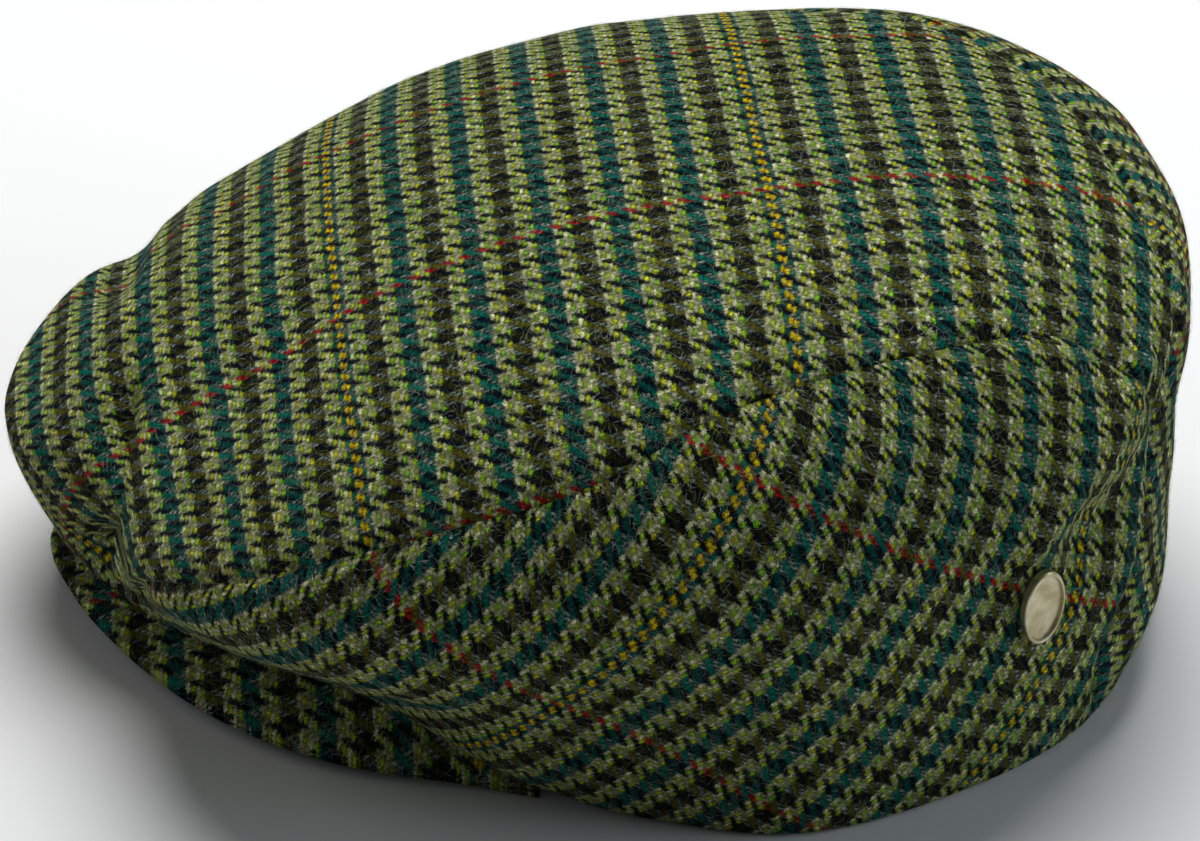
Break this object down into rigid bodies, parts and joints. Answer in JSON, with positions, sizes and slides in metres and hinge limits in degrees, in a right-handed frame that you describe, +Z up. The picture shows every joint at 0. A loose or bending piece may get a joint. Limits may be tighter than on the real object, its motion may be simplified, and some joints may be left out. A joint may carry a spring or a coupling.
{
  "type": "flat cap",
  "caption": "Flat cap in green houndstooth tweed: flat crown drawn down over a stiff peak, side panels joined at the back, small oval metal badge at the left rear.",
  "frame": {"origin": "middle of the cap's base box, on the surface that the cap lies on", "axes": "+Z up out of the crown, -Y towards the peak (the wearer's front), +X towards the wearer's left"},
  "size_m": [0.2004, 0.2658, 0.12],
  "materials": {
    "tweed": "woven wool, brushed, matt",
    "badge_metal": "pale nickel plate, satin"
  },
  "bodies": {
    "root": {"crown_top": "tweed", "crown_side_left": "tweed", "crown_side_right": "tweed", "peak_top_cover": "tweed", "peak_under_cover": "tweed", "badge": "badge_metal", "badge_clutch": "badge_metal"}
  },
  "joints": []
}
